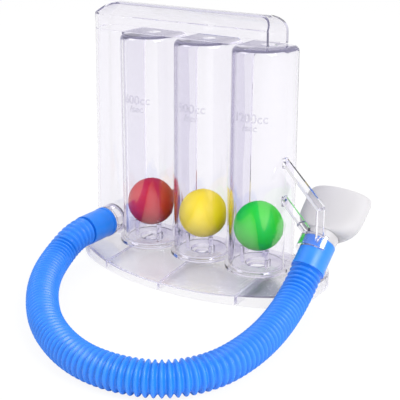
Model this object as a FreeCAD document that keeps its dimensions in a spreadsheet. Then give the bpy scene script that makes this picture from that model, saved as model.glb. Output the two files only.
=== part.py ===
import FreeCAD, Part
import math
import os

import Sketcher

# Three-ball incentive spirometer, in millimetres.
# The origin is on the table, under the middle ball. +Z is up, -Y is the front
# that the user looks at and +X is the side that holds the mouthpiece.

# Every size that can be set by itself, in one list. The sheet takes its cells from it.

# Balls and chambers
ball_dia = 30.0
ball_wall = 1.2
ball_clearance = 0.8
ball_lift = 10.4
chamber_gap = 5.6
chamber_wall = 1.4
chamber_height = 133.0
chamber_flare = 0.8
ball_room = 1.6
body_front = 5.0
rear_round = 8.0
top_round = 3.4
foot_width = 2.2
foot_height = 2.0
port_dia = 8.4
port_back = 6.5

# Duct on the left of the chambers
duct_width = 24.6
duct_flare = 3.4
duct_round = 8.0

# Hood along the top
hood_front_height = 9.0
hood_height = 16.5
hood_slope = 8.0
hood_wall = 1.6
hood_back_round = 11.0
hood_left_round = 16.4
hood_right_round = 9.0
hood_right_inset = 10.6

# Base tray
base_past = 1.8
base_reach = 25.2
base_centre = 1.8
base_front = 48.3
base_back = 28.0
base_bow = 150.0
base_height = 9.0
base_plate = 2.0
base_wall = 1.8
base_left_round = 40.0
base_front_round = 27.0
base_back_round = 22.0
base_edge_round = 1.2
rib_wall = 1.6
rib_pitch = 47.0
inlet_small_dia = 8.0
inlet_step = 2.0

# Ball seats
seat_height = 2.2
seat_clearance = 0.2
seat_bore = 15.0
peg_circle = 19.0
peg_dia = 2.6
peg_turn = 94.0
seat_gap = 0.3
fin_thick = 1.6
fin_width = 4.6
fin_height = 5.0

# Nozzle, hose and cuffs
nozzle_aside = 2.5
nozzle_height = 18.9
nozzle_reach = 9.5
nozzle_flange_dia = 19.4
nozzle_flange = 1.8
nozzle_neck_dia = 16.8
stub_dia = 14.8
stub_bore = 12.0
stub_length = 17.0
hose_dia = 18.3
hose_bore = 14.4
cuff_dia = 18.9
cuff_bead_dia = 19.4
cuff_bead = 2.0
cuff_length = 20.0
cuff_fit = 0.1
cuff_gap = 0.3
hose_lead = 9.8
hose_tail = 12.0

# Outlet cuff and mouthpiece, on an axis that rises to the back
outlet_across = 84.0
outlet_front = 6.4
outlet_height = 34.6
outlet_rise = 40.0
outlet_length = 18.0
neck_dia = 15.8
neck_bore = 12.6
neck_length = 13.0
mouth_wall = 1.5
mouth_collar_dia = 18.4
mouth_step = 0.4
mouth_straight = 6.0
mouth_shoulder = 12.0
mouth_shoulder_width = 36.0
mouth_length = 34.6
mouth_width = 42.6
mouth_thick = 15.0
mouth_shoulder_thick = 17.0

# Holder on the right wall, in an upright plane that turns to the front
holder_past = 0.8
holder_front = 2.0
holder_turn = 23.6
holder_depth = 4.6
holder_root = 3.0
strap_past = 5.6
strap = 2.0
strap_slant = 2.3
frame_top = 80.6
frame_corner = 60.4
frame_foot = 2.4
brace_top = 57.6
brace_short = 0.8
brace_foot = 6.4
tongue_start = 13.0
tongue_top = 11.3
tongue_short = 2.2
tongue_foot = 6.1
pad_thick = 0.8
pad_width = 3.6
pad_height = 6.0
pad_high = 74.0
pad_low = 51.0
clip_wall = 2.0
clip_clearance = 0.2
collar_clearance = 0.6
clip_length = 8.0
clip_past = 1.0
clip_gap = 110.0
clip_gap_start = 45.0

# Sizes that follow from others, as the sheet's own formulas
FOLLOWING = {
    "shell_radius": "ball_dia / 2 + ball_clearance + chamber_wall",
    "chamber_pitch": "2 * shell_radius + chamber_gap",
    "body_back": "ball_dia / 2 + ball_room + chamber_wall",
    "nozzle_centre": "chamber_pitch + shell_radius + duct_width / 2 - nozzle_aside",
    "holder_across": "chamber_pitch + shell_radius + holder_past",
}

# Document and sheet
sizes = {name: number for name, number in globals().items() if isinstance(number, float)}
sizes.update({name: "=" + formula for name, formula in FOLLOWING.items()})
doc = FreeCAD.newDocument("incentive_spirometer")
sheet = doc.addObject("Spreadsheet::Sheet", "sizes")
for row, (name, number) in enumerate(sizes.items(), 1):
    cell = "B" + str(row)
    sheet.set("A" + str(row), name)
    sheet.set(cell, str(number))
    sheet.setAlias(cell, name)
doc.recompute()


def bind(thing, name, formula):
    """Drive one property from the sheet. Aliases in a formula are written as {alias}."""
    thing.setExpression(name, formula.replace("{", "sizes.").replace("}", ""))


def worth(formula):
    """The number that a formula comes to."""
    return float(sheet.evalExpression(formula.replace("{", "").replace("}", "")))


def place(thing, across="0", along="0", up="0", turn=None, angle="0"):
    """Bind where a thing stands, and how far it turns about one axis."""
    if turn:
        thing.Placement = FreeCAD.Placement(
            FreeCAD.Vector(0, 0, 0), FreeCAD.Rotation(FreeCAD.Vector(*turn), 1)
        )
        bind(thing, "Placement.Rotation.Angle", angle)
    bind(thing, "Placement.Base.x", across)
    bind(thing, "Placement.Base.y", along)
    bind(thing, "Placement.Base.z", up)
    return thing


def cylinder(name, radius, height, across="0", along="0", up="0", turn=None, angle="0"):
    thing = doc.addObject("Part::Cylinder", name)
    bind(thing, "Radius", radius)
    bind(thing, "Height", height)
    return place(thing, across, along, up, turn, angle)


def cone(name, radius, top_radius, height, across="0", along="0", up="0"):
    thing = doc.addObject("Part::Cone", name)
    bind(thing, "Radius1", radius)
    bind(thing, "Radius2", top_radius)
    bind(thing, "Height", height)
    return place(thing, across, along, up)


def box(name, low, high):
    """A box between two corners, each three formulas."""
    thing = doc.addObject("Part::Box", name)
    for side, near, far in zip(("Length", "Width", "Height"), low, high):
        bind(thing, side, "(" + far + ") - (" + near + ")")
    return place(thing, *low)


def drafted(name, left, right, top_left, top_right, front, back, bottom, height):
    """An upright block whose left and right sides lean by a moulding draft."""
    thing = doc.addObject("Part::Wedge", name)
    bind(thing, "Ymin", "0")
    bind(thing, "Ymax", height)
    bind(thing, "Xmin", left)
    bind(thing, "Xmax", right)
    bind(thing, "X2min", top_left)
    bind(thing, "X2max", top_right)
    for side in ("Zmin", "Z2min"):
        bind(thing, side, "-(" + back + ")")
    for side in ("Zmax", "Z2max"):
        bind(thing, side, "-(" + front + ")")
    return place(thing, up=bottom, turn=(1, 0, 0), angle="90")


def fuse(name, things):
    thing = doc.addObject("Part::MultiFuse", name)
    thing.Shapes = things
    thing.Refine = True
    return thing


def common(name, things):
    thing = doc.addObject("Part::MultiCommon", name)
    thing.Shapes = things
    return thing


def cut(name, base, tool):
    thing = doc.addObject("Part::Cut", name)
    thing.Base = base
    thing.Tool = tool
    return thing


def fillet(name, base, rounds):
    """Round the edges that a test picks. rounds is a list of (test, radius)."""
    doc.recompute()
    edges = []
    for number, edge in enumerate(base.Shape.Edges, 1):
        for test, radius in rounds:
            if test(edge):
                edges.append((number, radius, radius))
                break
    thing = doc.addObject("Part::Fillet", name)
    thing.Base = base
    thing.Edges = edges
    return thing


def upright(edge):
    """True for an edge that runs from a lower to a higher level, nearly straight up."""
    ends = [vertex.Point for vertex in edge.Vertexes]
    if len(ends) < 2:
        return False
    rise = ends[1] - ends[0]
    return abs(rise.z) > 0.95 * rise.Length


def piece(name, thing):
    """Name a finished piece. Its label is its file's name."""
    thing.Label = name
    pieces[name] = thing


pieces = {}

# Heights and radii that several pieces share
CHAMBER_R = "({shell_radius} - {chamber_wall})"
SHELL_R = "{shell_radius}"
BODY_TOP = "({base_height} + {chamber_height})"
DUCT_LEFT = "({chamber_pitch} + " + SHELL_R + " + {duct_width})"
BLOCK_LEFT = "(" + DUCT_LEFT + " + {duct_flare})"
CHAMBERS = (("left", "-{chamber_pitch}"), ("middle", "0"), ("right", "{chamber_pitch}"))


# Base tray
def tray_form(name, inset, bottom, height):
    """The tray's outline, drawn in by inset: a bowed front and rounded ends."""
    bow = cylinder(
        name + "_bow",
        "{base_bow} - (" + inset + ")",
        height,
        "{base_centre}",
        "{base_bow} - {base_front}",
        bottom,
    )
    frame = box(
        name + "_frame",
        ("-" + BLOCK_LEFT + " - {base_past} + " + inset, "-{base_front} - 1", bottom),
        (
            "{chamber_pitch} + " + SHELL_R + " + {base_reach} - " + inset,
            "{base_back} - " + inset,
            bottom + " + " + height,
        ),
    )
    plan = common(name + "_plan", [bow, frame])
    step = 0.0 if inset == "0" else base_wall
    back = base_back - step

    def at_back(edge):
        return upright(edge) and abs(edge.Vertexes[0].Y - back) < 0.01

    def at_left(edge):
        return upright(edge) and edge.Vertexes[0].X < 0

    return fillet(
        name + "_rounded",
        plan,
        [
            (at_back, base_back_round - step),
            (at_left, base_left_round - step),
            (upright, base_front_round - step),
        ],
    )


outer = tray_form("tray_outer", "0", "0", "{base_height}")
top_level = base_height
outer = fillet(
    "tray_softened",
    outer,
    [(lambda edge: all(abs(v.Z - top_level) < 0.01 for v in edge.Vertexes), base_edge_round)],
)
hollow = tray_form("tray_hollow", "{base_wall}", "0", "{base_height} - {base_plate}")
tray = cut("tray_shell", outer, hollow)
rib_places = ("0", "{base_centre} - {rib_pitch}", "{base_centre} + {rib_pitch}")
ribs = []
for number, across in enumerate(rib_places):
    ribs.append(
        box(
            "rib_" + str(number),
            (across + " - {rib_wall} / 2", "-{base_front}", "0"),
            (across + " + {rib_wall} / 2", "{base_back}", "{base_height} - {base_plate}"),
        )
    )
ribs = common("ribs", [fuse("rib_group", ribs), tray_form("rib_room", "{base_wall}", "0", "{base_height}")])
tray = fuse("tray_ribbed", [tray, ribs])
inlets = []
for number, (side, across) in enumerate(CHAMBERS):
    inlets.append(
        cylinder(
            "inlet_" + side,
            "({inlet_small_dia} + " + str(number) + " * {inlet_step}) / 2",
            "{base_plate} + 1",
            across,
            "0",
            "{base_height} - {base_plate}",
        )
    )
piece("base_tray", cut("base_tray", tray, fuse("inlet_group", inlets)))


# Chamber block
def chamber_form(name, across, radius, bottom, height, back):
    """One chamber: a round front, straight sides and a flat back, all drafted."""
    flare = " + {chamber_flare}"
    front = cone(name + "_front", radius + flare, radius, height, across, "0", bottom)
    rear = drafted(
        name + "_rear",
        across + " - " + radius + " - {chamber_flare}",
        across + " + " + radius + flare,
        across + " - " + radius,
        across + " + " + radius,
        "0",
        back,
        bottom,
        height,
    )
    return fuse(name, [front, rear])


def duct_form(name, inset, right, top_right, bottom, height):
    return drafted(
        name,
        "-" + BLOCK_LEFT + " + " + inset,
        right,
        "-" + DUCT_LEFT + " + " + inset,
        top_right,
        "-{body_front} + " + inset,
        "{body_back} - " + inset,
        bottom,
        height,
    )


body_top = base_height + chamber_height
back_edge = worth("{body_back}")
forms = []
rooms = []
right_side = worth("{chamber_pitch} + {ball_dia} / 2")


def free_corner(edge):
    """The upright edge at the right end of the block's back."""
    ends = edge.Vertexes
    return upright(edge) and min(v.X for v in ends) > right_side and min(v.Y for v in ends) > 1


for side, across in CHAMBERS:
    form = chamber_form(
        "chamber_" + side, across, SHELL_R, "{base_height}", "{chamber_height}", "{body_back}"
    )
    if side == "right":
        form = fillet("chamber_right_cornered", form, [(free_corner, rear_round)])

    def top_rim(edge):
        """The top edges of a chamber, all but the one at its back."""
        level = all(abs(v.Z - body_top) < 0.01 for v in edge.Vertexes)
        return level and min(v.Y for v in edge.Vertexes) < back_edge - 0.01

    forms.append(fillet("chamber_" + side + "_rounded", form, [(top_rim, top_round)]))
    room = chamber_form(
        "room_" + side,
        across,
        CHAMBER_R,
        "{base_height}",
        "{chamber_height} - {chamber_wall}",
        "{body_back} - {chamber_wall}",
    )
    if side == "right":
        room = fillet("room_right_cornered", room, [(free_corner, rear_round - chamber_wall)])
    rooms.append(room)


duct_middle = worth("-{nozzle_centre}")


def duct_corner(edge):
    """The upright edges at the duct's left end."""
    return upright(edge) and max(v.X for v in edge.Vertexes) < duct_middle


duct = duct_form(
    "duct", "0", "-{chamber_pitch}", "-{chamber_pitch}", "{base_height}", "{chamber_height}"
)
forms.append(fillet("duct_rounded", duct, [(duct_corner, duct_round)]))
forms.append(
    box(
        "back_wall",
        ("-{chamber_pitch}", "{body_back} - {chamber_wall}", "{base_height}"),
        ("{chamber_pitch}", "{body_back}", BODY_TOP),
    )
)
block = fuse("block_form", forms)
feet = []
for side, across in CHAMBERS:
    foot = cylinder(
        "foot_" + side,
        SHELL_R + " + {chamber_flare} + {foot_width}",
        "{foot_height}",
        across,
        "0",
        "{base_height}",
        (0, 0, 1),
        "180",
    )
    foot.Angle = 180
    feet.append(foot)
block = fuse("block_footed", [block] + feet)
duct_room = duct_form(
    "room_duct",
    "{chamber_wall}",
    "-{chamber_pitch} - " + SHELL_R + " - {chamber_flare}",
    "-{chamber_pitch} - " + SHELL_R,
    "{base_height}",
    "{chamber_height}",
)
inner_round = duct_round - chamber_wall
rooms.append(fillet("room_duct_rounded", duct_room, [(duct_corner, inner_round)]))
for side, across in CHAMBERS:
    rooms.append(
        cylinder(
            "port_" + side,
            "{port_dia} / 2",
            "3 * {chamber_wall}",
            across,
            "{port_back}",
            BODY_TOP + " - 2 * {chamber_wall}",
        )
    )
rooms.append(
    cylinder(
        "nozzle_port",
        "{stub_bore} / 2",
        "3 * {chamber_wall}",
        "-{nozzle_centre}",
        "2 * {chamber_wall} - {body_front}",
        "{nozzle_height}",
        (1, 0, 0),
        "90",
    )
)
piece("chamber_block", cut("chamber_block", block, fuse("rooms", rooms)))


# Manifold cover
def hood_form(name, inset):
    """The hood's outside, or its inside when drawn in by a wall."""
    left = "-" + DUCT_LEFT + " + " + inset
    right = "{chamber_pitch} + " + SHELL_R + " - {hood_right_inset} - " + inset
    top = BODY_TOP + " + {hood_height} - " + inset
    low = (left, "-{body_front} + " + inset, BODY_TOP)
    high = (right, "{body_back} - " + inset, top)
    step = hood_wall if inset != "0" else 0.0
    solid = box(name + "_block", low, high)
    doc.recompute()
    room = solid.Shape.BoundBox

    def back_top(edge):
        ends = edge.Vertexes
        return all(abs(v.Y - room.YMax) < 0.01 and abs(v.Z - room.ZMax) < 0.01 for v in ends)

    def left_top(edge):
        ends = edge.Vertexes
        return all(abs(v.X - room.XMin) < 0.01 and abs(v.Z - room.ZMax) < 0.01 for v in ends)

    def right_top(edge):
        ends = edge.Vertexes
        return all(abs(v.X - room.XMax) < 0.01 and abs(v.Z - room.ZMax) < 0.01 for v in ends)

    def left_side(edge):
        return upright(edge) and abs(edge.Vertexes[0].X - room.XMin) < 0.01

    arch = fillet(name + "_arch", solid, [(back_top, hood_back_round - step)])
    ends_of = box(name + "_ends_block", low, high)
    ends = fillet(
        name + "_ends",
        ends_of,
        [
            (left_top, hood_left_round - step),
            (right_top, hood_right_round - step),
        ],
    )
    plan_of = box(name + "_plan_block", low, high)
    plan = fillet(name + "_plan", plan_of, [(left_side, duct_round - step)])
    slope = doc.addObject("Part::Wedge", name + "_slope")
    bind(slope, "Ymin", "0")
    bind(slope, "Ymax", "{hood_height} - " + inset)
    for name_of_side, formula in (
        ("Xmin", "0"),
        ("X2min", "0"),
        ("Xmax", "(" + right + ") - (" + left + ")"),
        ("X2max", "(" + right + ") - (" + left + ")"),
        ("Zmin", "-{body_back}"),
        ("Z2min", "-{body_back}"),
        ("Zmax", "{body_front} - (" + inset + ") + {hood_slope} * {hood_front_height}"
                 " / ({hood_height} - {hood_front_height})"),
        ("Z2max", "{body_front} - (" + inset + ") - {hood_slope}"
                  " + {hood_slope} * (" + inset + ") / ({hood_height} - {hood_front_height})"),
    ):
        bind(slope, name_of_side, formula)
    place(slope, across=left, up=BODY_TOP, turn=(1, 0, 0), angle="90")
    return common(name, [arch, ends, plan, slope])


hood = cut("manifold_cover", hood_form("hood_outer", "0"), hood_form("hood_inner", "{hood_wall}"))
piece("manifold_cover", hood)

# Ball seats
for side, across in CHAMBERS:
    name = "ball_seat_" + side
    disc = cylinder(
        name + "_disc", CHAMBER_R + " - {seat_clearance}", "{seat_height}", across, "0", "{base_height}"
    )
    parts = [disc]
    peg_top = (
        "{ball_lift} + {ball_dia} / 2 - {seat_gap}"
        " - sqrt(pow({ball_dia} / 2; 2) - pow({peg_circle} / 2 - {peg_dia} / 2; 2))"
    )
    for number in range(3):
        angle = math.radians(peg_turn + 120 * number)
        parts.append(
            cylinder(
                name + "_peg_" + str(number),
                "{peg_dia} / 2",
                peg_top,
                across + " + {peg_circle} / 2 * " + str(round(math.cos(angle), 6)),
                "{peg_circle} / 2 * " + str(round(math.sin(angle), 6)),
                "{base_height}",
            )
        )
    parts.append(
        box(
            name + "_fin",
            (
                across + " + {peg_circle} / 2 - {fin_thick} / 2",
                "-{fin_width} / 2 - {fin_width}",
                "{base_height}",
            ),
            (
                across + " + {peg_circle} / 2 + {fin_thick} / 2",
                "-{fin_width} / 2",
                "{base_height} + {seat_height} + {fin_height}",
            ),
        )
    )
    hole = cylinder(name + "_hole", "{seat_bore} / 2", "{seat_height}", across, "0", "{base_height}")
    piece(name, cut(name, fuse(name + "_form", parts), hole))

# Balls
for side, across in CHAMBERS:
    name = "ball_" + side
    skin = doc.addObject("Part::Sphere", name + "_skin")
    bind(skin, "Radius", "{ball_dia} / 2")
    inside = doc.addObject("Part::Sphere", name + "_inside")
    bind(inside, "Radius", "{ball_dia} / 2 - {ball_wall}")
    ball = cut(name, skin, inside)
    place(ball, across, "0", "{base_height} + {ball_lift} + {ball_dia} / 2")
    piece(name, ball)


# Nozzle and the cuff on it, both turned about a line that points to the front
def barrel(name, radius, start, length):
    """A round length on the nozzle's axis, from start forward of the duct's face."""
    return cylinder(
        name,
        radius,
        length,
        "-{nozzle_centre}",
        "-{body_front} - (" + start + ")",
        "{nozzle_height}",
        (1, 0, 0),
        "90",
    )


nozzle_form = fuse(
    "nozzle_form",
    [
        barrel("nozzle_foot", "{nozzle_flange_dia} / 2", "0", "{nozzle_flange}"),
        barrel("nozzle_neck", "{nozzle_neck_dia} / 2", "0", "{nozzle_reach}"),
        barrel(
            "nozzle_stop",
            "{nozzle_flange_dia} / 2",
            "{nozzle_reach} - {nozzle_flange}",
            "{nozzle_flange}",
        ),
        barrel("nozzle_stub", "{stub_dia} / 2", "0", "{nozzle_reach} + {stub_length}"),
    ],
)
nozzle_way = barrel("nozzle_way", "{stub_bore} / 2", "0", "{nozzle_reach} + {stub_length}")
piece("hose_nozzle", cut("hose_nozzle", nozzle_form, nozzle_way))

inlet_form = fuse(
    "inlet_cuff_form",
    [
        barrel("inlet_cuff_sleeve", "{cuff_dia} / 2", "{nozzle_reach}", "{cuff_length}"),
        barrel("inlet_cuff_bead", "{cuff_bead_dia} / 2", "{nozzle_reach}", "{cuff_bead}"),
    ],
)
inlet_way = fuse(
    "inlet_cuff_way",
    [
        barrel(
            "inlet_cuff_socket",
            "{stub_dia} / 2 + {cuff_fit}",
            "{nozzle_reach}",
            "{stub_length} + {cuff_fit}",
        ),
        barrel("inlet_cuff_throat", "{hose_bore} / 2", "{nozzle_reach}", "{cuff_length}"),
    ],
)
piece("inlet_cuff", cut("inlet_cuff", inlet_form, inlet_way))

# The hose lies on the table in one loop. Its ends are the two cuffs' ends.
rise = math.radians(outlet_rise)
outlet_way = FreeCAD.Vector(0, math.cos(rise), math.sin(rise))
outlet_mouth = FreeCAD.Vector(
    outlet_across, -outlet_front, outlet_height
)
hose_start = FreeCAD.Vector(
    duct_middle,
    -body_front - nozzle_reach - cuff_length,
    nozzle_height,
)
hose_end = outlet_mouth - outlet_way * outlet_length
lying = hose_dia / 2 + 0.05
route = [
    hose_start,
    hose_start + FreeCAD.Vector(0, -hose_lead, 0),
    FreeCAD.Vector(-66.3, -62, lying + 1.4),
    FreeCAD.Vector(-54, -86, lying),
    FreeCAD.Vector(-34, -111, lying),
    FreeCAD.Vector(-8, -134.5, lying),
    FreeCAD.Vector(24, -150.5, lying),
    FreeCAD.Vector(52, -152.5, lying),
    FreeCAD.Vector(76, -143.5, lying),
    FreeCAD.Vector(89.5, -124, lying),
    FreeCAD.Vector(93, -100, lying),
    FreeCAD.Vector(91.5, -74, lying),
    FreeCAD.Vector(87, -48, lying + 1.2),
    hose_end - outlet_way * hose_tail,
    hose_end,
]


def tube_path(points):
    """Straight runs joined by tangent arcs, each arc as large as its runs allow."""
    edges = []
    last = points[0]
    radii = []
    for before, corner, after in zip(points, points[1:], points[2:]):
        into = (corner - before).normalize()
        out_of = (after - corner).normalize()
        turn = into.getAngle(out_of)
        reach = 0.45 * min((corner - before).Length, (after - corner).Length)
        radius = reach / math.tan(turn / 2)
        radii.append(radius)
        start = corner - into * reach
        end = corner + out_of * reach
        inward = (out_of - into).normalize()
        centre = corner + inward * (radius / math.cos(turn / 2))
        middle = centre - inward * radius
        if (start - last).Length > 1e-6:
            edges.append(Part.LineSegment(last, start).toShape())
        edges.append(Part.Arc(start, middle, end).toShape())
        last = end
    edges.append(Part.LineSegment(last, points[-1]).toShape())
    return Part.Wire(edges), radii


def tube(path, radius):
    start = path.Edges[0].valueAt(path.Edges[0].FirstParameter)
    along = path.Edges[0].tangentAt(path.Edges[0].FirstParameter)
    ring = Part.Wire([Part.makeCircle(radius, start, along)])
    return path.makePipeShell([ring], True, True)


hose_path, hose_radii = tube_path(route)
hose_shape = tube(hose_path, hose_dia / 2).cut(tube(hose_path, hose_bore / 2))
hose = doc.addObject("Part::Feature", "hose")
hose.Shape = hose_shape
piece("hose", hose)
section = math.pi * (hose_dia ** 2 - hose_bore ** 2) / 4
print("hose radii", [round(radius, 1) for radius in hose_radii])
print("hose length", round(hose_path.Length, 1))
print("hose volume over section times length", round(hose_shape.Volume / section / hose_path.Length, 4))


# Outlet cuff and mouthpiece: each is made upright, with the cuff's mouth at zero
def on_outlet(thing):
    return place(
        thing,
        "{outlet_across}",
        "-{outlet_front}",
        "{outlet_height}",
        (1, 0, 0),
        "{outlet_rise} - 90",
    )


outlet_form = fuse(
    "outlet_cuff_form",
    [
        cylinder("outlet_cuff_sleeve", "{cuff_dia} / 2", "{outlet_length}", up="-{outlet_length}"),
        cylinder("outlet_cuff_bead", "{cuff_bead_dia} / 2", "{cuff_bead}", up="-{outlet_length}"),
    ],
)
outlet_room = fuse(
    "outlet_cuff_room",
    [
        cylinder(
            "outlet_cuff_socket",
            "{neck_dia} / 2 + {cuff_fit}",
            "{neck_length} + 1",
            up="-{neck_length} - 1",
        ),
        cylinder("outlet_cuff_throat", "{hose_bore} / 2", "{outlet_length}", up="-{outlet_length}"),
    ],
)
piece("outlet_cuff", on_outlet(cut("outlet_cuff", outlet_form, outlet_room)))


def oval(name, width, thick, level):
    """An oval section. Its longer half-axis lies across the mouthpiece."""
    thing = doc.addObject("Part::Ellipse", name)
    bind(thing, "MajorRadius", width)
    bind(thing, "MinorRadius", thick)
    return place(thing, up=level)


MOUTH_SECTIONS = (
    (
        "{mouth_collar_dia} / 2 + {mouth_step}",
        "{mouth_collar_dia} / 2 + {mouth_step}",
        "{mouth_straight}",
    ),
    ("{mouth_shoulder_width} / 2", "{mouth_shoulder_thick} / 2", "{mouth_shoulder}"),
    (
        "({mouth_shoulder_width} + {mouth_width}) / 4",
        "({mouth_shoulder_thick} + {mouth_thick}) / 4",
        "({mouth_shoulder} + {mouth_length}) / 2",
    ),
    ("{mouth_width} / 2", "{mouth_thick} / 2", "{mouth_length}"),
)


def mouth_form(name, inset):
    ovals = []
    for number, (width, thick, level) in enumerate(MOUTH_SECTIONS):
        ovals.append(oval(name + "_" + str(number), width + inset, thick + inset, level))
    loft = doc.addObject("Part::Loft", name)
    loft.Sections = ovals
    loft.Solid = True
    return loft


mouth_outer = fuse(
    "mouth_outer",
    [
        mouth_form("bill_outer", ""),
        cylinder("collar_outer", "{mouth_collar_dia} / 2", "{mouth_straight} - {cuff_gap}", up="{cuff_gap}"),
        cylinder("neck_outer", "{neck_dia} / 2", "{neck_length} + {mouth_wall}", up="-{neck_length}"),
    ],
)
mouth_inner = fuse(
    "mouth_inner",
    [
        mouth_form("bill_inner", " - {mouth_wall}"),
        cylinder(
            "collar_inner",
            "{mouth_collar_dia} / 2 - {mouth_wall}",
            "{mouth_straight} - {mouth_wall} - {cuff_gap}",
            up="{mouth_wall} + {cuff_gap}",
        ),
        cylinder("neck_inner", "{neck_bore} / 2", "{neck_length} + {mouth_wall}", up="-{neck_length}"),
    ],
)
piece("mouthpiece", on_outlet(cut("mouthpiece", mouth_outer, mouth_inner)))


# Holder: straps that stand off the right wall, and a clip round the outlet cuff
def strap_piece(name, corners):
    """A flat strap, as deep as the holder, drawn by the corners of its edge view."""
    body = doc.addObject("PartDesign::Body", name)
    sketch = body.newObject("Sketcher::SketchObject", name + "_sketch")
    plane = [f for f in body.Origin.OriginFeatures if f.Role == "XZ_Plane"][0]
    sketch.AttachmentSupport = [(plane, "")]
    sketch.MapMode = "FlatFace"
    count = len(corners)
    guess = [FreeCAD.Vector(worth(across), worth(up), 0) for across, up in corners]
    for number in range(count):
        sketch.addGeometry(Part.LineSegment(guess[number], guess[(number + 1) % count]), False)
    for number in range(count):
        sketch.addConstraint(
            Sketcher.Constraint("Coincident", number, 2, (number + 1) % count, 1)
        )
    for number, formulas in enumerate(corners):
        start = guess[number]
        for kind, coordinate, formula in zip(("DistanceX", "DistanceY"), start, formulas):
            index = sketch.addConstraint(Sketcher.Constraint(kind, -1, 1, number, 1, coordinate))
            bind(sketch, "Constraints[" + str(index) + "]", formula)
    pad = body.newObject("PartDesign::Pad", name + "_pad")
    pad.Profile = sketch
    pad.Reversed = False
    pad.Midplane = True
    bind(pad, "Length", "{holder_depth}")
    return place(
        body, "{holder_across}", "-{holder_front}", "0", (0, 0, 1), "-{holder_turn}"
    )


ROOT = "-1 * {holder_root}"
OUT = "({outlet_across} - {holder_across}) / cos({holder_turn})"
frame = strap_piece(
    "holder_frame",
    [
        (ROOT, "{frame_top}"),
        (OUT + " + {strap_past}", "{frame_corner}"),
        (OUT + " + {strap_past}", "{outlet_height} + {frame_foot}"),
        (OUT + " + {strap_past} - {strap}", "{outlet_height} + {frame_foot}"),
        (OUT + " + {strap_past} - {strap}", "{frame_corner} - {strap_slant}"),
        (ROOT, "{frame_top} - {strap_slant}"),
    ],
)
brace = strap_piece(
    "holder_brace",
    [
        (ROOT, "{brace_top}"),
        (OUT + " - {brace_short}", "{outlet_height} + {brace_foot}"),
        (OUT + " - {brace_short}", "{outlet_height} + {brace_foot} - {strap_slant}"),
        (ROOT, "{brace_top} - {strap_slant}"),
    ],
)
tongue = strap_piece(
    "holder_tongue",
    [
        (OUT + " - {tongue_start}", "{outlet_height} + {tongue_top}"),
        (OUT + " - {tongue_short}", "{outlet_height} + {tongue_foot}"),
        (OUT + " - {tongue_short}", "{outlet_height} + {tongue_foot} - {strap}"),
        (OUT + " - {tongue_start}", "{outlet_height} + {tongue_top} - {strap}"),
    ],
)
pads = []
for number, level in enumerate(("{pad_high}", "{pad_low}")):
    pads.append(
        box(
            "holder_pad_" + str(number),
            ("{chamber_pitch} + " + CHAMBER_R, "-{holder_front} - {pad_width} / 2", level),
            (
                "{chamber_pitch} + " + SHELL_R + " + {chamber_flare} + {pad_thick}",
                "{pad_width} / 2 - {holder_front}",
                level + " + {pad_height}",
            ),
        )
    )
ring = cylinder(
    "clip_ring",
    "{cuff_dia} / 2 + {clip_clearance} + {clip_wall}",
    "{clip_length}",
    up="{clip_past} - {clip_length}",
)
gap = cylinder(
    "clip_mouth",
    "{cuff_dia}",
    "{clip_length}",
    up="{clip_past} - {clip_length}",
    turn=(0, 0, 1),
    angle="-{clip_gap_start}",
)
bind(gap, "Angle", "{clip_gap}")
clip = on_outlet(cut("clip", ring, gap))
clip_bore = cylinder(
    "clip_bore",
    "{cuff_dia} / 2 + {clip_clearance}",
    "{outlet_length} + {clip_past}",
    up="-{outlet_length}",
)
collar_room = cylinder(
    "collar_room", "{mouth_collar_dia} / 2 + {collar_clearance}", "{mouth_straight}", up="{clip_past}"
)
grip = on_outlet(fuse("grip", [clip_bore, collar_room]))
holder_form = fuse("holder_form", [frame, brace, tongue, clip] + pads)
holder_off = cut("holder_off_wall", holder_form, doc.getObject("chamber_right"))
piece("hose_holder", cut("hose_holder", holder_off, grip))

# Check every object and write the pieces
doc.recompute()
for thing in doc.Objects:
    if "Invalid" in thing.State or "Error" in thing.State:
        raise RuntimeError(thing.Label + " did not build")
os.makedirs("parts", exist_ok=True)
for name, thing in pieces.items():
    shape = thing.Shape
    if shape.isNull() or not shape.isValid():
        raise RuntimeError(name + " has no valid shape")
    room = shape.BoundBox
    print(
        name,
        "solids",
        len(shape.Solids),
        "volume",
        round(shape.Volume),
        "x",
        round(room.XMin, 1),
        round(room.XMax, 1),
        "y",
        round(room.YMin, 1),
        round(room.YMax, 1),
        "z",
        round(room.ZMin, 1),
        round(room.ZMax, 1),
    )
    shape.exportStep("parts/" + name + ".step")
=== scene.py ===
import math

import bmesh
import bpy
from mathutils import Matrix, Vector


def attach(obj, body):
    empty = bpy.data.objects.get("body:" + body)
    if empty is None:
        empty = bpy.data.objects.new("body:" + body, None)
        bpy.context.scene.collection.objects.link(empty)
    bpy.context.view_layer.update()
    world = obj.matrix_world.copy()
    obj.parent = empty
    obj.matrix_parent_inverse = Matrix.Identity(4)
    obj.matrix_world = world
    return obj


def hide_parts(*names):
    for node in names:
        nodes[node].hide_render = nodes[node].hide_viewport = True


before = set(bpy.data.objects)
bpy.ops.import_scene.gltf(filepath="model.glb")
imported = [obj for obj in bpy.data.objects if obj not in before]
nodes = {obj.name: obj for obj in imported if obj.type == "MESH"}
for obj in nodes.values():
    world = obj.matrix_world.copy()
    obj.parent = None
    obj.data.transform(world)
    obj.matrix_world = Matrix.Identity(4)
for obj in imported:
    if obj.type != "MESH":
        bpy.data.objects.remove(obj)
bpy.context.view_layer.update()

# View
# A long lens looks down on the front right corner. The place and the turn were
# worked out from the photograph, with no shift.
scene = bpy.context.scene
scene.view_settings.view_transform = "Standard"
camera_data = bpy.data.cameras.new("camera")
camera_data.sensor_width = 36.0
camera_data.lens = 85.5
camera = bpy.data.objects.new("camera", camera_data)
camera.location = (0.3093, -0.4598, 0.2358)
aim = Vector((-0.00231, 0.0, 0.04226)) - camera.location
camera.rotation_euler = aim.to_track_quat("-Z", "Y").to_euler()
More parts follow.
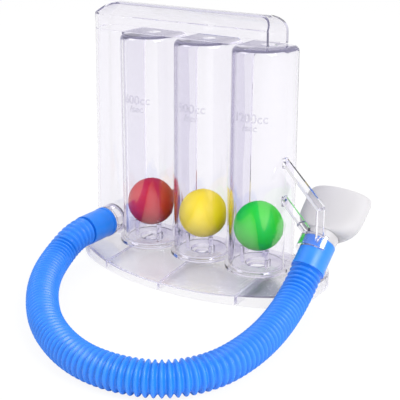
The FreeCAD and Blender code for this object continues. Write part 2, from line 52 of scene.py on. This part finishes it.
scene.collection.objects.link(camera)
scene.camera = camera


# Studio
# A pale sweep under and round the spirometer, two large soft lamps and a pale
# sky. Clear plastic shows by the greyer sky overhead that its edges pick up.
def linear(code):
    """A colour written as sRGB hex, turned to the linear values that shaders use."""
    parts = [int(code[i : i + 2], 16) / 255 for i in (1, 3, 5)]
    straight = [p / 12.92 if p <= 0.04045 else ((p + 0.055) / 1.055) ** 2.4 for p in parts]
    return (*straight, 1.0)


def add(tree, kind, settings=None, **links):
    """One node with its settings. A link is a socket, and anything else a value."""
    node = tree.nodes.new(kind)
    for name, setting in (settings or {}).items():
        setattr(node, name, setting)
    for name, given in links.items():
        if name[0] == "i" and name[1:].isdigit():
            socket = node.inputs[int(name[1:])]
        else:
            socket = node.inputs[name.replace("_", " ")]
        if isinstance(given, bpy.types.NodeSocket):
            tree.links.new(given, socket)
        else:
            socket.default_value = given
    return node


def empty_material(name):
    material = bpy.data.materials.new(name)
    material.use_nodes = True
    material.node_tree.nodes.clear()
    return material, material.node_tree


def surface(tree, shader):
    add(tree, "ShaderNodeOutputMaterial", Surface=shader)


sky = bpy.data.worlds.new("studio_sky")
sky.use_nodes = True
sky_tree = sky.node_tree
sky_tree.nodes.clear()
ray = add(sky_tree, "ShaderNodeLightPath")
way = add(sky_tree, "ShaderNodeTexCoord")
height = add(sky_tree, "ShaderNodeSeparateXYZ", Vector=way.outputs["Generated"])
overhead = add(
    sky_tree,
    "ShaderNodeMapRange",
    {"interpolation_type": "SMOOTHSTEP"},
    Value=height.outputs["Z"],
    From_Min=0.15,
    From_Max=0.75,
    To_Min=1.0,
    To_Max=0.86,
)
even_light = add(
    sky_tree,
    "ShaderNodeMath",
    {"operation": "MAXIMUM"},
    i0=ray.outputs["Is Camera Ray"],
    i1=ray.outputs["Is Diffuse Ray"],
)
seen = add(
    sky_tree,
    "ShaderNodeMath",
    {"operation": "MAXIMUM"},
    i0=overhead.outputs["Result"],
    i1=even_light.outputs[0],
)
pale = add(
    sky_tree,
    "ShaderNodeBackground",
    Color=linear("#FFFFFF"),
    Strength=seen.outputs[0],
)
add(sky_tree, "ShaderNodeOutputWorld", Surface=pale.outputs[0])
scene.world = sky

sweep_mesh = bpy.data.meshes.new("sweep")
sweep_half = 2.5
sweep_mesh.from_pydata(
    [(x * sweep_half, y * sweep_half, 0) for x, y in ((-1, -1), (1, -1), (1, 1), (-1, 1))],
    [],
    [(0, 1, 2, 3)],
)
sweep = bpy.data.objects.new("sweep", sweep_mesh)
scene.collection.objects.link(sweep)
# Matt paper scatters all light. The share of pure white is for the view alone.
white_share = 0.9
paper, paper_tree = empty_material("matt_white_paper")
paper_ray = add(paper_tree, "ShaderNodeLightPath")
shaded = add(paper_tree, "ShaderNodeBsdfDiffuse", Color=linear("#F2F2F2"))
white = add(paper_tree, "ShaderNodeEmission", Color=linear("#FFFFFF"), Strength=1.0)
looked_at = add(
    paper_tree,
    "ShaderNodeMath",
    {"operation": "MAXIMUM"},
    i0=paper_ray.outputs["Is Camera Ray"],
    i1=paper_ray.outputs["Is Transmission Ray"],
)
share = add(
    paper_tree,
    "ShaderNodeMath",
    {"operation": "MULTIPLY"},
    i0=looked_at.outputs[0],
    i1=white_share,
)
paper_mix = add(
    paper_tree,
    "ShaderNodeMixShader",
    i0=share.outputs[0],
    i1=shaded.outputs[0],
    i2=white.outputs[0],
)
surface(paper_tree, paper_mix.outputs[0])
sweep_mesh.materials.append(paper)


def soft_lamp(name, place, target, width, depth, power):
    data = bpy.data.lights.new(name, "AREA")
    data.shape = "RECTANGLE"
    data.size = width
    data.size_y = depth
    data.energy = power
    lamp = bpy.data.objects.new(name, data)
    lamp.location = place
    towards = Vector(target) - Vector(place)
    lamp.rotation_euler = towards.to_track_quat("-Z", "Y").to_euler()
    scene.collection.objects.link(lamp)


lamps_face = (0, 0, 0.06)
soft_lamp("lamp_left", (-0.75, -0.65, 0.95), lamps_face, 0.6, 0.6, 5.0)
soft_lamp("lamp_right", (0.95, -0.25, 0.8), lamps_face, 0.5, 0.7, 12.0)


# Clear mouldings
# The tray, the chamber block, its cover, the seats, the nozzle and the holder are
# injection moulded in clear polystyrene, then welded or pushed together. Their
# walls have real thickness, so they bend the light, and each edge has a small radius.
def dress(name, material):
    """Give a CAD node one material."""
    slots = nodes[name].data.materials
    slots.clear()
    slots.append(material)


def moulded(
    name, body, material, edge_radius=0.0003, sharp=28, reshape=None, levels=(), way=None
):
    """A node as it leaves its mould: smooth curves, and edges with a small radius."""
    mesh = bpy.data.meshes.new(name + "_moulding")
    work = bmesh.new()
    work.from_mesh(nodes[name].data)
    bmesh.ops.remove_doubles(work, verts=work.verts, dist=2e-6)
    bmesh.ops.dissolve_limit(
        work, angle_limit=math.radians(0.4), verts=work.verts, edges=work.edges
    )
    for level in levels:
        bmesh.ops.bisect_plane(
            work,
            geom=work.verts[:] + work.edges[:] + work.faces[:],
            plane_co=level,
            plane_no=way,
            dist=1e-7,
        )
    if reshape:
        for corner in work.verts:
            reshape(corner.co)
    for face in work.faces:
        face.smooth = True
    for edge in work.edges:
        edge.smooth = edge.calc_face_angle(0.0) < math.radians(sharp)
    work.to_mesh(mesh)
    work.free()
    mesh.materials.append(material)
    piece = bpy.data.objects.new(name + "_moulding", mesh)
    scene.collection.objects.link(piece)
    if edge_radius:
        rounding = piece.modifiers.new("edge_radius", "BEVEL")
        rounding.width = edge_radius
        rounding.segments = 2
        rounding.limit_method = "ANGLE"
        rounding.angle_limit = math.radians(sharp)
        rounding.harden_normals = True
        rounding.miter_outer = "MITER_ARC"
    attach(piece, body)
    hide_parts(name)
    return piece


# A ripple from the mould is some 11 mm long and the grain 0.7 mm. A view ray bends
# at the first four faces. Past them the light goes on straight, as through thin walls.
ripple_scale = 90.0
grain_scale = 1400.0
bends = 3.5
# Past this depth, light turned back inside a wall takes the grey painted rim shade.
painted_rim_depth = 2.5


def clear_plastic(name, colour, roughness, grain):
    """Clear plastic with moulding ripple. Lamps and soft light pass it, as in life."""
    material, tree = empty_material(name)
    place = add(tree, "ShaderNodeTexCoord")
    ripple = add(
        tree,
        "ShaderNodeTexNoise",
        Vector=place.outputs["Object"],
        Scale=ripple_scale,
        Detail=2.0,
        Roughness=0.5,
    )
    fine = add(
        tree,
        "ShaderNodeTexNoise",
        Vector=place.outputs["Object"],
        Scale=grain_scale,
        Detail=3.0,
        Roughness=0.6,
    )
    both = add(
        tree,
        "ShaderNodeMath",
        {"operation": "MULTIPLY_ADD"},
        i0=fine.outputs[0],
        i1=grain,
        i2=ripple.outputs[0],
    )
    bump = add(
        tree,
        "ShaderNodeBump",
        Height=both.outputs[0],
        Strength=0.06,
        Distance=0.0002,
    )
    dull = add(
        tree,
        "ShaderNodeMapRange",
        Value=fine.outputs[0],
        From_Min=0.3,
        From_Max=0.7,
        To_Min=roughness * 0.8,
        To_Max=roughness * 1.25,
    )
    shader = add(
        tree,
        "ShaderNodeBsdfPrincipled",
        Base_Color=linear(colour),
        Roughness=dull.outputs[0],
        IOR=1.55,
        Transmission_Weight=1.0,
        Normal=bump.outputs[0],
    )
    ray = add(tree, "ShaderNodeLightPath")
    past = add(tree, "ShaderNodeBsdfTransparent", Color=linear("#F1F0F6"))
    deep = add(
        tree,
        "ShaderNodeMath",
        {"operation": "GREATER_THAN"},
        i0=ray.outputs["Ray Depth"],
        i1=bends,
    )
    stray = add(tree, "ShaderNodeBsdfTransparent", Color=linear("#F6F5F9"))
    # Light that a wall has turned back inside itself is given a grey tint here. This is
    # painted shade, and it draws the grey lines along each rim.
    inside = add(
        tree,
        "ShaderNodeMath",
        {"operation": "GREATER_THAN"},
        i0=ray.outputs["Ray Depth"],
        i1=painted_rim_depth,
    )
    turned = add(
        tree,
        "ShaderNodeMath",
        {"operation": "MULTIPLY"},
        i0=ray.outputs["Is Reflection Ray"],
        i1=inside.outputs[0],
    )
    painted_rim_shade = add(tree, "ShaderNodeBsdfTransparent", Color=linear("#C6C4D2"))
    rim = add(
        tree,
        "ShaderNodeMixShader",
        i0=turned.outputs[0],
        i1=shader.outputs[0],
        i2=painted_rim_shade.outputs[0],
    )
    held = add(
        tree,
        "ShaderNodeMixShader",
        i0=deep.outputs[0],
        i1=rim.outputs[0],
        i2=stray.outputs[0],
    )
    soft = add(
        tree,
        "ShaderNodeMath",
        {"operation": "MAXIMUM"},
        i0=ray.outputs["Is Shadow Ray"],
        i1=ray.outputs["Is Diffuse Ray"],
    )
    mix = add(
        tree,
        "ShaderNodeMixShader",
        i0=soft.outputs[0],
        i1=held.outputs[0],
        i2=past.outputs[0],
    )
    surface(tree, mix.outputs[0])
    return material


# The body leaves a polished mould, with a wet gloss. The tray's mould is textured,
# so what is seen through it blurs.
clear = clear_plastic("clear_polystyrene", "#FAF9FC", 0.03, 0.02)
clear_foot = clear_plastic("clear_polystyrene_textured", "#F8F7F8", 0.2, 0.3)
tray_top = 0.009
block_top = 0.142
weld_gap = 0.00006
slope_start = -0.0205
slope_run = 0.0278
slope_drop = 0.0042


def sloped_front(place):
    """The tray's top falls away to the front, in a soft curve past the chambers."""
    past = min(max((slope_start - place.y) / slope_run, 0.0), 1.0)
    place.z *= 1 - slope_drop / tray_top * past * past * (3 - 2 * past)


def off_tray(place):
    """A hair of air under a face that stands on the tray, as a press fit leaves."""
    if place.z < tray_top + weld_gap:
        place.z = tray_top + weld_gap


def off_block(place):
    if place.z < block_top + weld_gap:
        place.z = block_top + weld_gap


moulded("base_tray", "stand", clear_foot, reshape=sloped_front)
moulded("chamber_block", "stand", clear, reshape=off_tray)
moulded("manifold_cover", "stand", clear, reshape=off_block)
for name in ("ball_seat_left", "ball_seat_middle", "ball_seat_right"):
    moulded(name, "stand", clear, reshape=off_tray)
for name in ("hose_nozzle", "hose_holder"):
    moulded(name, "stand", clear)

# Flow figures
# The flow that lifts each ball stands on its chamber's front, in low raised
# figures of the same clear plastic, so they show only as faint lines.
figure_rise = 0.00014
figure_aside = 0.0026
figure_line = 0.00004
flow_size, flow_foot = 0.0074, 0.1016
unit_size, unit_foot = 0.0056, 0.0967
longest_edge = 0.0007
front_radius = 0.0172
front_draft = 0.0008
# Satin from a fine grain in the mould, which shows the figures as pale lines.
raised = clear_plastic("clear_polystyrene_satin", "#F3F2F6", 0.12, 0.3)


def figures(name, side, flow):
    """Two lines of raised figures, bent round one chamber's front."""
    ball = nodes["ball_" + side].data
    middle = sum(corner.co.x for corner in ball.vertices) / len(ball.vertices)
    work = bmesh.new()
    lines = ((flow + "cc", flow_size, flow_foot), ("/sec", unit_size, unit_foot))
    for words, size, foot in lines:
        text = bpy.data.curves.new(name, "FONT")
        text.body = words
        text.size = size
        text.align_x = "CENTER"
        text.extrude = figure_rise
        text.offset = figure_line
        written = bpy.data.objects.new(name, text)
        scene.collection.objects.link(written)
        flat = bpy.data.meshes.new_from_object(written)
        for corner in flat.vertices:
            corner.co.y += foot
        work.from_mesh(flat)
        bpy.data.objects.remove(written)
        bpy.data.curves.remove(text)
        bpy.data.meshes.remove(flat)
    bmesh.ops.remove_doubles(work, verts=work.verts, dist=1e-6)
    bmesh.ops.triangulate(work, faces=work.faces)
    for _ in range(2):
        long = [edge for edge in work.edges if edge.calc_length() > longest_edge]
        bmesh.ops.subdivide_edges(work, edges=long, cuts=1)
        bmesh.ops.triangulate(work, faces=work.faces)
    for corner in work.verts:
        x, y, z = corner.co
        front = front_radius + front_draft * (1 - (y - tray_top) / (block_top - tray_top)) + z
        turn = (x + figure_aside) / front_radius
        corner.co = (middle + front * math.sin(turn), -front * math.cos(turn), y)
    bmesh.ops.recalc_face_normals(work, faces=work.faces)
    mesh = bpy.data.meshes.new(name)
    work.to_mesh(mesh)
    work.free()
    mesh.materials.append(raised)
    piece = bpy.data.objects.new(name, mesh)
    scene.collection.objects.link(piece)
    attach(piece, "stand")


for side, flow in (("left", "600"), ("middle", "900"), ("right", "1200")):
    figures("flow_" + flow, side, flow)

# Balls
# Three hollow balls of satin polypropylene, one colour for each chamber. Each
# was welded from two halves, so a fine seam runs round it.
ball_colours = {"left": "#CC1422", "middle": "#FFE400", "right": "#1FD012"}
seam_way = (0.42, 0.2, 0.885)
seam_half = 0.0002
# The skin's grain is 0.4 mm, and its gloss and tone change over some 14 mm.
skin_scale = 2600.0
cloud_scale = 70.0
for side, colour in ball_colours.items():
    # Dyed polypropylene has a soft sheen, and light goes a little way into it.
    satin, tree = empty_material("satin_polypropylene_" + side)
    ball = nodes["ball_" + side].data
    count = len(ball.vertices)
    middle = [sum(corner.co[axis] for corner in ball.vertices) / count for axis in range(3)]
    place = add(tree, "ShaderNodeTexCoord")
    centred = add(
        tree,
        "ShaderNodeVectorMath",
        {"operation": "SUBTRACT"},
        i0=place.outputs["Object"],
        i1=middle,
    )
    across = add(
        tree,
        "ShaderNodeVectorMath",
        {"operation": "DOT_PRODUCT"},
        i0=centred.outputs[0],
        i1=seam_way,
    )
    off = add(tree, "ShaderNodeMath", {"operation": "ABSOLUTE"}, i0=across.outputs["Value"])
    seam = add(
        tree,
        "ShaderNodeMapRange",
        {"interpolation_type": "SMOOTHSTEP"},
        Value=off.outputs[0],
        From_Min=seam_half / 4,
        From_Max=seam_half,
        To_Min=1.0,
        To_Max=0.0,
    )
    grain = add(
        tree,
        "ShaderNodeTexNoise",
        Vector=place.outputs["Object"],
        Scale=skin_scale,
        Detail=3.0,
        Roughness=0.6,
    )
    cloud = add(
        tree,
        "ShaderNodeTexNoise",
        Vector=place.outputs["Object"],
        Scale=cloud_scale,
        Detail=3.0,
        Roughness=0.5,
    )
    skin = add(
        tree,
        "ShaderNodeMath",
        {"operation": "MULTIPLY_ADD"},
        i0=grain.outputs[0],
        i1=0.25,
        i2=seam.outputs[0],
    )
    bump = add(
        tree, "ShaderNodeBump", Height=skin.outputs[0], Strength=0.35, Distance=0.00008
    )
    dull = add(
        tree,
        "ShaderNodeMapRange",
        Value=cloud.outputs[0],
        From_Min=0.3,
        From_Max=0.7,
        To_Min=0.4,
        To_Max=0.56,
    )
    tone = add(
        tree,
        "ShaderNodeMapRange",
        Value=cloud.outputs[0],
        From_Min=0.3,
        From_Max=0.7,
        To_Min=0.96,
        To_Max=1.03,
    )
    dyed = add(
        tree,
        "ShaderNodeHueSaturation",
        Value=tone.outputs[0],
        Color=linear(colour),
    )
    shader = add(
        tree,
        "ShaderNodeBsdfPrincipled",
        Base_Color=dyed.outputs[0],
        Roughness=dull.outputs[0],
        IOR=1.49,
        Specular_IOR_Level=0.35,
        Subsurface_Weight=0.08,
        Subsurface_Radius=(0.002, 0.001, 0.001),
        Subsurface_Scale=1.0,
        Normal=bump.outputs[0],
    )
    surface(tree, shader.outputs[0])
    dress("ball_" + side, satin)

# Hose and cuffs
# A blow-moulded polyethylene hose with rounded ribs, and a smooth cuff on each
# end. It lies on the table in one loop, in the CAD's own place.
hose_points = [
    (-0.067, -0.0345, 0.0189),
    (-0.067, -0.0443, 0.0189),
    (-0.0663, -0.062, 0.0106),
    (-0.054, -0.086, 0.0092),
    (-0.034, -0.111, 0.0092),
    (-0.008, -0.1345, 0.0092),
    (0.024, -0.1505, 0.0092),
    (0.052, -0.1525, 0.0092),
    (0.076, -0.1435, 0.0092),
    (0.0895, -0.124, 0.0092),
    (0.093, -0.100, 0.0092),
    (0.0915, -0.074, 0.0092),
    (0.087, -0.048, 0.0104),
    (0.084, -0.02938, 0.01532),
    (0.084, -0.02019, 0.02303),
]
hose_radius = 0.00915
rib_pitch = 0.0035
rib_depth = 0.0019
steps_per_rib = 10
ring_points = 40

line_data = bpy.data.curves.new("hose_line", "CURVE")
line_data.dimensions = "3D"
line_data.resolution_u = 24
spline = line_data.splines.new("NURBS")
spline.points.add(len(hose_points) - 1)
for point, place in zip(spline.points, hose_points):
    point.co = (*place, 1.0)
spline.order_u = 3
spline.use_endpoint_u = True
hose_line = bpy.data.objects.new("hose_line", line_data)
scene.collection.objects.link(hose_line)
read = bpy.data.meshes.new_from_object(hose_line)
bpy.data.meshes.remove(read)

blue, blue_tree = empty_material("blue_polyethylene")
# Soft polyethylene has a waxy half gloss, with a grain of 0.45 mm, drawn coarser
# than it is, and a slight change of tone over 8 mm where the wall is thinner.
blown_scale = 120.0
wax_scale = 2200.0
blue_place = add(blue_tree, "ShaderNodeTexCoord")
blue_cloud = add(
    blue_tree,
    "ShaderNodeTexNoise",
    Vector=blue_place.outputs["Object"],
    Scale=blown_scale,
    Detail=4.0,
    Roughness=0.55,
)
blue_grain = add(
    blue_tree,
    "ShaderNodeTexNoise",
    Vector=blue_place.outputs["Object"],
    Scale=wax_scale,
    Detail=3.0,
    Roughness=0.6,
)
blue_tone = add(
    blue_tree,
    "ShaderNodeMapRange",
    Value=blue_cloud.outputs[0],
    From_Min=0.3,
    From_Max=0.7,
    To_Min=0.93,
    To_Max=1.05,
)
blue_dyed = add(
    blue_tree,
    "ShaderNodeHueSaturation",
    Value=blue_tone.outputs[0],
    Color=linear("#1A75D8"),
)
blue_dull = add(
    blue_tree,
    "ShaderNodeMapRange",
    Value=blue_cloud.outputs[0],
    From_Min=0.3,
    From_Max=0.7,
    To_Min=0.3,
    To_Max=0.46,
)
blue_bump = add(
    blue_tree, "ShaderNodeBump", Height=blue_grain.outputs[0], Strength=0.2, Distance=0.00006
)
blue_shader = add(
    blue_tree,
    "ShaderNodeBsdfPrincipled",
    Base_Color=blue_dyed.outputs[0],
    Roughness=blue_dull.outputs[0],
    IOR=1.51,
    Normal=blue_bump.outputs[0],
)
surface(blue_tree, blue_shader.outputs[0])

ribs = bpy.data.node_groups.new("hose_ribs", "GeometryNodeTree")
ribs.interface.new_socket("Geometry", in_out="INPUT", socket_type="NodeSocketGeometry")
for name in ("Radius", "Pitch", "Depth", "Step"):
    ribs.interface.new_socket(name, in_out="INPUT", socket_type="NodeSocketFloat")
ribs.interface.new_socket("Geometry", in_out="OUTPUT", socket_type="NodeSocketGeometry")
given = add(ribs, "NodeGroupInput")
even = add(
    ribs,
    "GeometryNodeResampleCurve",
    {"mode": "LENGTH"},
    Curve=given.outputs["Geometry"],
    Length=given.outputs["Step"],
)
along = add(ribs, "GeometryNodeSplineParameter")
turns = add(
    ribs,
    "ShaderNodeMath",
    {"operation": "DIVIDE"},
    i0=along.outputs["Length"],
    i1=given.outputs["Pitch"],
)
angle = add(ribs, "ShaderNodeMath", {"operation": "MULTIPLY"}, i0=turns.outputs[0], i1=math.tau)
wave = add(ribs, "ShaderNodeMath", {"operation": "COSINE"}, i0=angle.outputs[0])
lifted = add(
    ribs, "ShaderNodeMath", {"operation": "MULTIPLY_ADD"}, i0=wave.outputs[0], i1=0.5, i2=0.5
)
groove = add(ribs, "ShaderNodeMath", {"operation": "POWER"}, i0=lifted.outputs[0], i1=1.1)
sunk = add(
    ribs,
    "ShaderNodeMath",
    {"operation": "MULTIPLY"},
    i0=groove.outputs[0],
    i1=given.outputs["Depth"],
)
radius = add(
    ribs,
    "ShaderNodeMath",
    {"operation": "SUBTRACT"},
    i0=given.outputs["Radius"],
    i1=sunk.outputs[0],
)
sized = add(
    ribs,
    "GeometryNodeSetCurveRadius",
    Curve=even.outputs[0],
    Radius=radius.outputs[0],
)
ring = add(ribs, "GeometryNodeCurvePrimitiveCircle", Resolution=ring_points, Radius=1.0)
skin = add(
    ribs,
    "GeometryNodeCurveToMesh",
    Curve=sized.outputs[0],
    Profile_Curve=ring.outputs[0],
    Fill_Caps=True,
)
if "Scale" in skin.inputs:
    ribs.links.new(radius.outputs[0], skin.inputs["Scale"])
smooth = add(ribs, "GeometryNodeSetShadeSmooth", Geometry=skin.outputs[0])
real = add(ribs, "GeometryNodeRealizeInstances", Geometry=smooth.outputs[0])
painted = add(ribs, "GeometryNodeSetMaterial", Geometry=real.outputs[0], Material=blue)
out = add(ribs, "NodeGroupOutput")
ribs.links.new(painted.outputs[0], out.inputs[0])

builder = hose_line.modifiers.new("ribs", "NODES")
builder.node_group = ribs
sizes = {
    "Radius": hose_radius,
    "Pitch": rib_pitch,
    "Depth": rib_depth,
    "Step": rib_pitch / steps_per_rib,
}
for item in ribs.interface.items_tree:
    if item.in_out == "INPUT" and item.name in sizes:
        builder[item.identifier] = sizes[item.name]
hose_mesh = bpy.data.meshes.new_from_object(
    hose_line.evaluated_get(bpy.context.evaluated_depsgraph_get())
)
hose_mesh.name = "corrugated_hose"
hose_line.modifiers.remove(builder)
bpy.data.objects.remove(hose_line)
corrugated_hose = bpy.data.objects.new("corrugated_hose", hose_mesh)
scene.collection.objects.link(corrugated_hose)
dress("inlet_cuff", blue)
dress("outlet_cuff", blue)
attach(corrugated_hose, "stand")
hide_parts("hose")

# Mouthpiece
# A flattened bill of translucent polypropylene, moulded with a fine matt surface.
# Its neck pushes into the outlet cuff, and it comes off to be washed.
# The matt mould gives a grain of 0.4 mm, drawn coarser than it is, and the gloss
# changes a little over 9 mm.
matt_scale = 2400.0
gloss_scale = 110.0
frosted, frosted_tree = empty_material("frosted_polypropylene")
frosted_place = add(frosted_tree, "ShaderNodeTexCoord")
frosted_grain = add(
    frosted_tree,
    "ShaderNodeTexNoise",
    Vector=frosted_place.outputs["Object"],
    Scale=matt_scale,
    Detail=3.0,
    Roughness=0.65,
)
frosted_cloud = add(
    frosted_tree,
    "ShaderNodeTexNoise",
    Vector=frosted_place.outputs["Object"],
    Scale=gloss_scale,
    Detail=3.0,
    Roughness=0.5,
)
frosted_dull = add(
    frosted_tree,
    "ShaderNodeMapRange",
    Value=frosted_cloud.outputs[0],
    From_Min=0.3,
    From_Max=0.7,
    To_Min=0.42,
    To_Max=0.58,
)
frosted_bump = add(
    frosted_tree, "ShaderNodeBump", Height=frosted_grain.outputs[0], Strength=0.25, Distance=0.00006
)
frosted_shader = add(
    frosted_tree,
    "ShaderNodeBsdfPrincipled",
    Base_Color=linear("#C6C4C7"),
    Roughness=frosted_dull.outputs[0],
    IOR=1.49,
    Transmission_Weight=0.25,
    Subsurface_Weight=0.45,
    Subsurface_Radius=(1.0, 1.0, 1.0),
    Subsurface_Scale=0.006,
    Normal=frosted_bump.outputs[0],
)
surface(frosted_tree, frosted_shader.outputs[0])
mouth_foot = Vector((0.084, -0.0064, 0.0346))
mouth_way = Vector((0.0, math.cos(math.radians(40)), math.sin(math.radians(40))))
mouth_length = 0.0346
lip_drop = 0.0042
lip_run = 0.0075
bill_half = 0.021


def rounded_lip(place):
    """Both corners of the lip are rounded, so that it sits well between the lips."""
    past = ((place - mouth_foot).dot(mouth_way) - mouth_length + lip_run) / lip_run
    if past > 0:
        past = min(past, 1.0)
        inward = lip_drop * (1 - math.sqrt(1 - past * past))
        place.x = mouth_foot.x + (place.x - mouth_foot.x) * (1 - inward / bill_half)


moulded(
    "mouthpiece",
    "mouthpiece",
    frosted,
    edge_radius=0.0005,
    sharp=40,
    reshape=rounded_lip,
    levels=[
        mouth_foot + mouth_way * (mouth_length - lip_run * (1 - math.sin(step * math.pi / 20)))
        for step in range(10)
    ],
    way=mouth_way,
)
